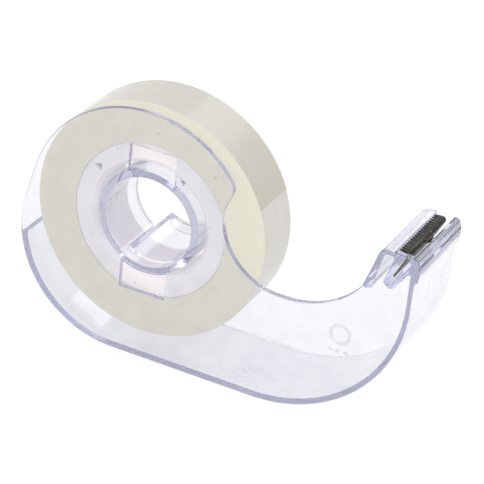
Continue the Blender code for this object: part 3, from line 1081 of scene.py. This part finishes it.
@dataclass
class MouldMark:
    """Low relief on the plate: a ring with three dots under it."""

    datum: Datum
    front: float
    behind_front: float = 13.9 * MM
    below_hub: float = 10.6 * MM
    outer: float = 2.4 * MM
    inner: float = 1.7 * MM
    dot: float = 0.5 * MM
    dot_pitch: float = 1.7 * MM
    dot_drop: float = 3.9 * MM
    near: float = -0.26 * MM
    far: float = -0.01 * MM
    soft: float = 0.06 * MM

    def build(self) -> Piece:
        """Make the ring and the dots, with soft edges on their near side.

        Returns:
            The finished object, not dressed yet.
        """
        x, z = self.front - self.behind_front, -self.below_hub
        ring = rounded([(self.outer, self.near, self.soft), (self.outer, self.far, 0),
                        (self.inner, self.far, 0), (self.inner, self.near, self.soft)])
        pieces = [revolved("mould_mark", self.datum, ring, steps=64, centre=(x, z))]
        for i in range(3):
            middle = (x + (i - 1) * self.dot_pitch, z - self.dot_drop)
            dot = arc(middle, self.dot, 0, 360, step=15)[:-1]
            pieces.append(prism(f"mark_dot_{i}", self.datum, dot, self.near, self.far, self.soft))
        return smooth(joined(pieces))

    def dress(self, obj: Piece, material: Material) -> None:
        """Give the relief its finish, a frosted kind of the moulding's.

        Args:
            obj: The relief.
            material: Its finish.
        """
        obj.data.materials.append(material)
        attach(obj, "dispenser")


@dataclass
class SnapFinger:
    """One springy finger of the split hub, with its hook."""

    datum: Datum
    body: str
    node: str
    side: int
    outer: float = 11.6 * MM
    inner: float = 10.1 * MM
    half_width: float = 5.1 * MM
    root: float = 3.42 * MM
    hook_reach: float = 1.7 * MM
    hook_length: float = 1.4 * MM
    edge: float = 0.15 * MM
    bend_length: float = 3.0 * MM
    nose: float = 0.9 * MM
    spacing: float = 0.4 * MM
    columns: int = 26

    def build(self) -> Piece:
        """Make the finger: a bent bar whose section is (radius, across).

        Each section point keeps its radius while x goes over the width, so
        z is side * sqrt(radius^2 - x^2), and the two ends are rounded by
        insetting the section.

        Returns:
            The finished object, not dressed yet.
        """
        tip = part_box(self.node)[1].y - self.datum.near_y
        hook = self.outer + self.hook_reach
        start = tip - self.hook_length
        section = divided(rounded([
            (self.inner, self.root, 0.0), (self.outer, self.root, 0.0), (self.outer, start, 0.25 * MM),
            (hook, start, 0.2 * MM), (hook, tip - self.hook_length / 2, 0.35 * MM),
            (hook - self.nose, tip, 0.35 * MM), (self.inner, tip, 0.3 * MM)]), self.spacing)
        ends = quarter(self.edge, steps=3)
        stations = [(-self.half_width + a, i) for a, i in ends]
        stations += [(x, 0.0) for x in np.linspace(-self.half_width, self.half_width, self.columns)[1:-1]]
        stations += [(self.half_width - a, i) for a, i in ends[::-1]]
        rows = []
        for x, inset in stations:
            ring = offset(section, inset)
            z = self.side * np.sqrt(np.maximum(ring[:, 0], abs(x)) ** 2 - x ** 2)
            rows.append(self.datum.world(np.full(len(ring), x), ring[:, 1], z))
        return smooth(grid_mesh(self.node.replace("hub", "snap"), np.array(rows), False, True, True))

    def dress(self, obj: Piece, material: Material) -> None:
        """Give the finger its finish.

        Args:
            obj: The finger.
            material: Its finish.
        """
        obj.data.materials.append(material)
        middle = self.side * (self.outer + self.inner) / 2
        start = self.datum.world(0.0, self.root, middle)
        end = self.datum.world(0.0, self.root + self.bend_length, middle)
        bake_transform(obj)
        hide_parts(self.node)


# ---- the cutter blade ------------------------------------------------------------


@dataclass
class Blade:
    """Folded steel strip: a leg in the slot, a toothed flange and one barb.

    lean is the leg's angle from upright and tilt the flange's from level.
    barb_flat, tooth_flat and thinning are shares of the barb's half width,
    of a tooth's depth and of the strip's thickness.
    """

    datum: Datum
    front: float
    head_top: float
    thickness: float = 0.4 * MM
    setback: float = 2.0 * MM
    proud: float = 0.1 * MM
    lean: float = 25.5
    tilt: float = 3.0
    leg: float = 6.3 * MM
    flange: float = 2.6 * MM
    pitch: float = 1.0 * MM
    depth: float = 0.62 * MM
    slack: float = 0.3 * MM
    seat: float = 0.85 * MM
    mouth: float = 0.8 * MM
    barb_width: float = 2.8 * MM
    barb_reach: float = 0.8 * MM
    barb_height: float = 0.9 * MM
    barb_drop: float = 0.15 * MM
    barb_flat: float = 0.12
    over: float = 1.0 * MM
    tooth_flat: float = 0.06
    tooth_columns: int = 8
    thinning: float = 0.55
    bend_radius: float = 0.45 * MM
    bend_steps: int = 10

    @property
    def span(self) -> Pair:
        """Across values of the blade's two ends."""
        low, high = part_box("cutter_blade")
        return (low.y - self.datum.near_y, high.y - self.datum.near_y)

    @property
    def bend(self) -> Pair:
        """Side-view point where the strip's middle planes meet."""
        return (self.front - self.setback, self.head_top + self.proud - self.thickness / 2)

    def beside_leg(self, z: float, front: float) -> Pair:
        """Point at height z, at a distance in front of the leg's middle plane."""
        lean = math.radians(self.lean)
        return (self.bend[0] + (z - self.bend[1]) * math.tan(lean) + front / math.cos(lean), z)

    def leg_point(self, below: float, front: float) -> Pair:
        """Point beside the leg's middle plane.

        Args:
            below: Distance down along the leg from the bend.
            front: Distance in front of the middle plane.

        Returns:
            The side-view point.
        """
        lean = math.radians(self.lean)
        return (self.bend[0] - below * math.sin(lean) + front * math.cos(lean),
                self.bend[1] - below * math.cos(lean) - front * math.sin(lean))

    def flange_end(self) -> Pair:
        """Side-view point in the middle of the flange's toothed edge."""
        tilt = math.radians(self.tilt)
        return (self.bend[0] - self.flange * math.cos(tilt), self.bend[1] + self.flange * math.sin(tilt))

    def channel(self) -> Points:
        """Outline of the slot for the leg and the seat under the flange.

        Returns:
            A (7, 2) array.
        """
        side, floor = self.thickness / 2, self.head_top - self.seat
        left = self.flange_end()[0] - self.slack
        lip = self.beside_leg(self.head_top, side + self.mouth)
        above, bottom = self.head_top + self.over, self.leg + self.slack
        return np.array([(left, above), (left, floor), self.beside_leg(floor, -side - self.slack),
                         self.leg_point(bottom, -side - self.slack),
                         self.leg_point(bottom, side + self.slack), lip, (lip[0], above)])

    def barb(self, name: str, room: float, above: float) -> Piece:
        """Pointed tab in front of the leg, or the notch that takes it.

        Its plan is a triangle whose base lies on the leg and whose blunt
        point looks forward; it runs straight down over its height.

        Args:
            name: Name of the new object.
            room: Distance that the triangle is grown by.
            above: How far the solid goes up past the tab's top.

        Returns:
            The closed solid.
        """
        top = self.bend[1] - self.barb_drop + above
        low = self.bend[1] - self.barb_drop - self.barb_height - room
        middle, half = sum(self.span) / 2, self.barb_width / 2 + room
        reach = self.thickness / 2 + self.barb_reach + room
        across = middle + half * np.array([-1, -self.barb_flat, self.barb_flat, 1])
        tip = self.beside_leg(self.bend[1], reach)[0]
        rows = []
        for z in (low, top):
            x = self.beside_leg(min(z, self.bend[1]), 0.0)[0]
            rows.append(self.datum.world(np.array([x, tip, tip, x]), across, z))
        return grid_mesh(name, np.array(rows), False, True, True)

    def teeth(self, across: Points) -> Points:
        """Depth cut from the flange at some across values.

        It is a triangle wave, stretched and clipped so that each tip and
        each gullet has a narrow flat.

        Args:
            across: Across values.

        Returns:
            The depth at each.
        """
        phase = (across - self.span[0]) / self.pitch
        gullet = np.abs(2 * (phase - np.floor(phase)) - 1)
        return self.depth * np.clip((1 + 2 * self.tooth_flat) * gullet - self.tooth_flat, 0, 1)

    def path(self) -> tuple[Points, Points, Points]:
        """Middle line of the strip: the leg, the bend's arc and the flange.

        Returns:
            Points, the upper side's unit normals and, for each point, how far
            along the flange it is, from 0 to 1.
        """
        lean, tilt = math.radians(self.lean), math.radians(self.tilt)
        leg = np.array([math.sin(lean), math.cos(lean)])
        flange = np.array([-math.cos(tilt), math.sin(tilt)])
        radius, bend = self.bend_radius, np.array(self.bend)
        turn = math.acos(float(leg @ flange))
        reach = radius * math.tan(turn / 2)
        low = bend - leg * self.leg
        straight = low + (bend - leg * reach - low) * np.linspace(0, 1, 6)[:, None]
        angle = np.linspace(0, turn, self.bend_steps + 1)[1:]
        inward = np.array([-leg[1], leg[0]])
        centre = bend - leg * reach + inward * radius
        curve = centre - radius * (np.cos(angle)[:, None] * inward - np.sin(angle)[:, None] * leg)
        share = np.linspace(0, 1, 7)[1:]
        rest = curve[-1] + flange * (self.flange - reach) * share[:, None]
        line = np.concatenate([straight, curve, rest])
        heading = np.gradient(line, axis=0)
        heading /= np.linalg.norm(heading, axis=1, keepdims=True)
        normal = np.stack([heading[:, 1], -heading[:, 0]], axis=-1)
        along = np.concatenate([np.zeros(len(straight) + len(curve)), share])
        return line, normal, along

    def build(self) -> Piece:
        """Make the strip as rings round its section, one ring per across station.

        Where the flange is cut back by a gullet, its points slide back along
        it in proportion to how far along the flange they are. The strip
        thins towards the teeth with the cube of that.

        Returns:
            The finished object, not dressed yet.
        """
        line, normal, along = self.path()
        near, far = self.span
        half = self.thickness / 2
        tilt = math.radians(self.tilt)
        flange = np.array([-math.cos(tilt), math.sin(tilt)])
        across = np.linspace(near, far, round((far - near) / self.pitch) * self.tooth_columns + 1)
        cut = self.teeth(across)[:, None, None] * along[None, :, None] * flange[None, None, :]
        middle = line[None] - cut
        thin = (1 - self.thinning * along ** 3)[None, :, None] * half * normal[None]
        ring = np.concatenate([middle + thin, (middle - thin)[:, ::-1]], axis=1)
        grid = self.datum.world(ring[..., 0], across[:, None], ring[..., 1])
        strip = grid_mesh("serrated_blade", grid, False, True, True)
        barb = self.barb("barb_join", room=0.0, above=0.0)
        return smooth(carve(strip, [(Carve.JOIN, barb)]), sharp_angle=30.0)

    def dress(self, obj: Piece, material: Material) -> None:
        """Give the blade its finish and fix it to the moulding.

        Args:
            obj: The blade.
            material: Its finish.
        """
        obj.data.materials.append(material)
        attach(obj, "dispenser")
        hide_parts("cutter_blade")


# ---- the roll --------------------------------------------------------------------


@dataclass
class Roll:
    """The moulded core and the tape wound on it.

    gate_angle says where the gate recess lies round the core, and gate_turn
    which way its triangle points. end_angle says where the tape ends.
    """

    datum: Datum
    bore: float = 12.7 * MM
    chamfer: float = 0.9 * MM
    gate_angle: float = 145.0
    gate_turn: float = 85.0
    gate_point: float = 1.05 * MM
    gate_base: float = 0.75 * MM
    gate_half: float = 0.85 * MM
    gate_depth: float = 0.9 * MM
    gate_over: float = 0.5 * MM
    bond: float = 0.02 * MM
    tape_edge: float = 0.12 * MM
    end_angle: float = 22.5
    end_step: float = 0.09 * MM
    columns: int = 384
    face_rows: int = 25
    side_rows: int = 9
    end_shade: float = 0.85
    shade_fall: float = 75.0
    wave_shade: float = 0.1

    def span(self) -> Pair:
        """Across values of the roll's two sides."""
        low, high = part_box("tape_roll")
        return (low.y - self.datum.near_y, high.y - self.datum.near_y)

    def core_radius(self) -> float:
        """Outer radius of the core."""
        low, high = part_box("tape_core")
        return (high.x - low.x) / 2

    def core(self) -> Piece:
        """Make the core, a turned ring with rounded edges and a gate recess.

        Returns:
            The finished object, not dressed yet.
        """
        near, far = self.span()
        outer, flare = self.core_radius(), self.bore + self.chamfer
        profile = rounded([(outer, near, 0.15 * MM), (outer, far, 0.15 * MM), (flare, far, 0.3 * MM),
                           (self.bore, far - self.chamfer, 0.4 * MM),
                           (self.bore, near + self.chamfer, 0.4 * MM), (flare, near, 0.3 * MM)])
        ring = revolved("roll_core", self.datum, profile)
        spot = np.array(on_circle((0, 0), (flare + outer) / 2, self.gate_angle))
        shape = np.array([(0.0, self.gate_point), (-self.gate_half, -self.gate_base),
                          (self.gate_half, -self.gate_base)])
        turn = math.radians(self.gate_turn)
        turned = shape @ np.array([[math.cos(turn), math.sin(turn)], [-math.sin(turn), math.cos(turn)]])
        recess = prism("gate_cut", self.datum, spot + turned, near - self.gate_over, near + self.gate_depth)
        return smooth(carve(ring, [(Carve.CUT, recess)]))

    def tape(self) -> Piece:
        """Make the wound tape, whose outermost turn ends in a step.

        Its outer radius falls evenly from the end's angle once round, by the
        step, so the last column of the grid meets the first in a small
        ledge across the whole width. The face carries painted shade: it is
        darkest at the tape's end and clears with exp(-degrees / shade_fall),
        on a slow wave round the roll.

        Returns:
            The finished object, with three point attributes for its finish.
        """
        near, far = self.span()
        low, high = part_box("tape_roll")
        outer, inner, soft = (high.x - low.x) / 2, self.core_radius() + self.bond, self.tape_edge
        across = np.linspace(near + soft, far - soft, self.face_rows)
        side = outer - soft + (inner - outer + soft) * np.linspace(0, 1, self.side_rows)
        profile = np.concatenate([np.stack([np.full_like(across, outer), across], axis=-1),
                                  np.stack([side, np.full_like(side, far)], axis=-1),
                                  np.stack([side[::-1], np.full_like(side, near)], axis=-1)])
        on_face = np.concatenate([np.ones_like(across), np.zeros(2 * self.side_rows)])
        turn = np.linspace(0, 1, self.columns)[:, None]
        angle = np.radians(self.end_angle + 360 * turn)
        grow = (profile[:, 0] - inner) / (outer - inner)
        radius = profile[:, 0][None, :] - self.end_step * turn * grow[None, :]
        grid = self.datum.world(radius * np.cos(angle), profile[:, 1][None, :], radius * np.sin(angle))
        obj = grid_mesh("wound_tape", grid, True, True)
        # painted shade: darkest at the tape's end, fading round the roll on a slow wave
        shade = np.exp(-turn * 360 / self.shade_fall) * self.end_shade + self.wave_shade * np.cos(angle * 3)
        for name, values in (("wind_radius", radius), ("wind_face", on_face[None, :]), ("wind_shade", shade)):
            layer = obj.data.attributes.new(name, "FLOAT", "POINT")
            layer.data.foreach_set("value", np.broadcast_to(values, radius.shape).astype(np.float32).ravel())
        return smooth(obj, sharp_angle=30.0)

    def dress(self, obj: Piece, material: Material, node: str, slot: str) -> None:
        """Give a piece its finish and let it turn with the roll.

        Args:
            obj: The core or the tape.
            material: Its finish.
            node: The node that it replaces.
            slot: The part's material that its finish stands for; not used.
        """
        obj.data.materials.append(material)
        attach(obj, "roll")
        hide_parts(node)


# ---- camera, floor and light -----------------------------------------------------


@dataclass(frozen=True)
class Softbox:
    """A square area light that faces the dispenser."""

    name: str
    place: Triple
    size: float
    power: float
    target: Triple = (0.01, 0.0, 0.03)

    def build(self) -> None:
        """Make the light, and turn its front to the target."""
        data = bpy.data.lights.new(self.name, "AREA")
        data.size = self.size
        data.energy = self.power
        light = bpy.data.objects.new(self.name, data)
        light.location = self.place
        toward = Vector(self.target) - Vector(self.place)
        light.rotation_euler = toward.to_track_quat("-Z", "Y").to_euler()
        bpy.context.scene.collection.objects.link(light)


@dataclass
class Studio:
    """White floor, soft light and a camera at the product's usual angle.

    aim_right and aim_up lead from the hub to the point that the camera looks
    at, along its own picture's sides.
    """

    datum: Datum
    azimuth: float = 23.89
    elevation: float = 29.01
    roll: float = 6.19
    distance: float = 0.5319
    lens: float = 193.4
    sensor: float = 36.0
    aim_right: float = 19.39 * MM
    aim_up: float = -3.90 * MM
    light_paths: int = 24
    floor_reach: float = 3.0
    floor_hole: float = 0.1 * MM
    floor_drop: float = 0.02 * MM
    floor_grey: Triple = (0.35, 0.35, 0.35)
    floor_glow: float = 0.66
    horizon: Triple = (1.0, 1.0, 1.0)
    overhead: Triple = (0.78, 0.78, 0.81)
    lights: tuple[Softbox, ...] = (
        Softbox("key_light", (0.5, -0.6, 0.9), size=0.5, power=3.0),
        Softbox("fill_light", (-0.8, -0.3, 0.7), size=0.6, power=1.4),
        Softbox("rear_light", (0.1, 0.9, 0.8), size=0.6, power=1.4))

    def camera(self) -> None:
        """Place the camera on a sphere about the point it looks at."""
        az, el, roll = (math.radians(v) for v in (self.azimuth, self.elevation, self.roll))
        right = np.array([math.cos(az), math.sin(az), 0.0])
        up = np.array([-math.sin(az) * math.sin(el), math.cos(az) * math.sin(el), math.cos(el)])
        back = np.array([math.sin(az) * math.cos(el), -math.cos(az) * math.cos(el), math.sin(el)])
        turned_right = math.cos(roll) * right + math.sin(roll) * up
        turned_up = math.cos(roll) * up - math.sin(roll) * right
        hub = np.array([self.datum.hub_x, self.datum.near_y, self.datum.hub_z])
        place = hub + turned_right * self.aim_right + turned_up * self.aim_up + back * self.distance
        data = bpy.data.cameras.new("camera")
        data.lens = self.lens
        data.sensor_width = self.sensor
        data.clip_start = 10 * MM
        camera = bpy.data.objects.new("camera", data)
        matrix = Matrix((turned_right, turned_up, back)).transposed().to_4x4()
        matrix.translation = Vector(place)
        camera.matrix_world = matrix
        bpy.context.scene.collection.objects.link(camera)
        bpy.context.scene.camera = camera

    def floor(self) -> None:
        """A wide white disc under the dispenser, lit a little from inside like a light table."""
        angle = np.linspace(0, 2 * np.pi, 96, endpoint=False)
        reach = np.array([self.floor_hole, self.floor_reach])[:, None]
        height = np.full((2, len(angle)), self.datum.base_z - self.floor_drop)
        grid = np.stack([reach * np.cos(angle), reach * np.sin(angle), height], axis=-1)
        floor = grid_mesh("floor", grid, False, True)
        material, shader, surface = new_material("floor")
        shader.fill(surface, {
            "Base Color": self.floor_grey, "Emission Color": (1.0, 1.0, 1.0),
            "Emission Strength": self.floor_glow, "Roughness": 0.9, "Specular IOR Level": 0.1})
        floor.data.materials.append(material)

    def world(self) -> None:
        """A white horizon that dims overhead, so that clear edges have something dark to show."""
        world = bpy.data.worlds.new("world")
        world.use_nodes = True
        bpy.context.scene.world = world
        shader = Shader(world.node_tree)
        height = shader.ramp(shader.split(shader.coordinates("Generated"))["Z"], low=0.3, high=0.95)
        back = world.node_tree.nodes["Background"]
        shader.fill(back, {"Color": shader.mix(height, self.horizon, self.overhead), "Strength": 1.0})

    def limits(self) -> None:
        """Plain colours, and enough bounces for light that is caught inside clear walls."""
        scene = bpy.context.scene
        scene.view_settings.view_transform = "Standard"
        scene.cycles.max_bounces = self.light_paths
        scene.cycles.glossy_bounces = self.light_paths
        scene.cycles.transmission_bounces = self.light_paths
        scene.cycles.transparent_max_bounces = self.light_paths

    def build(self) -> None:
        """Make everything."""
        self.camera()
        self.floor()
        self.world()
        for light in self.lights:
            light.build()
        self.limits()


def note(obj: Piece) -> None:
    """Report a finished piece."""
    LOG.info("%s: %d vertices, %d faces", obj.name, len(obj.data.vertices), len(obj.data.polygons))


def main() -> None:
    """Build the pieces in order, dress them and report them."""
    logging.basicConfig(level=logging.INFO, format="%(message)s")
    datum = Datum.from_frame()
    Studio(datum).build()
    effects = Effects()
    clear = ClearPlastic().build(effects)
    moulding = Moulding(datum)
    blade = Blade(datum, moulding.front, moulding.head_top)
    body = moulding.build(blade.channel(), blade.barb("barb_cut", room=0.15 * MM, above=2.0 * MM))
    moulding.dress(body, clear)
    note(body)
    mark = MouldMark(datum, moulding.front)
    relief = mark.build()
    mark.dress(relief, ClearPlastic(name="frosted_plastic", roughness=0.4).build(effects))
    note(relief)
    for name, side in (("top", 1), ("bottom", -1)):
        finger = SnapFinger(datum, "finger_" + name, "hub_finger_" + name, side)
        piece = finger.build()
        finger.dress(piece, clear)
        note(piece)
    strip = blade.build()
    blade.dress(strip, BladeSteel().build(effects))
    note(strip)
    roll = Roll(datum)
    core, tape = roll.core(), roll.tape()
    roll.dress(core, CorePlastic().build(effects), "tape_core", "core_plastic")
    roll.dress(tape, TapeFilm().build(effects), "tape_roll", "tape_film")
    note(core)
    note(tape)


if __name__ == "__main__":
    main()
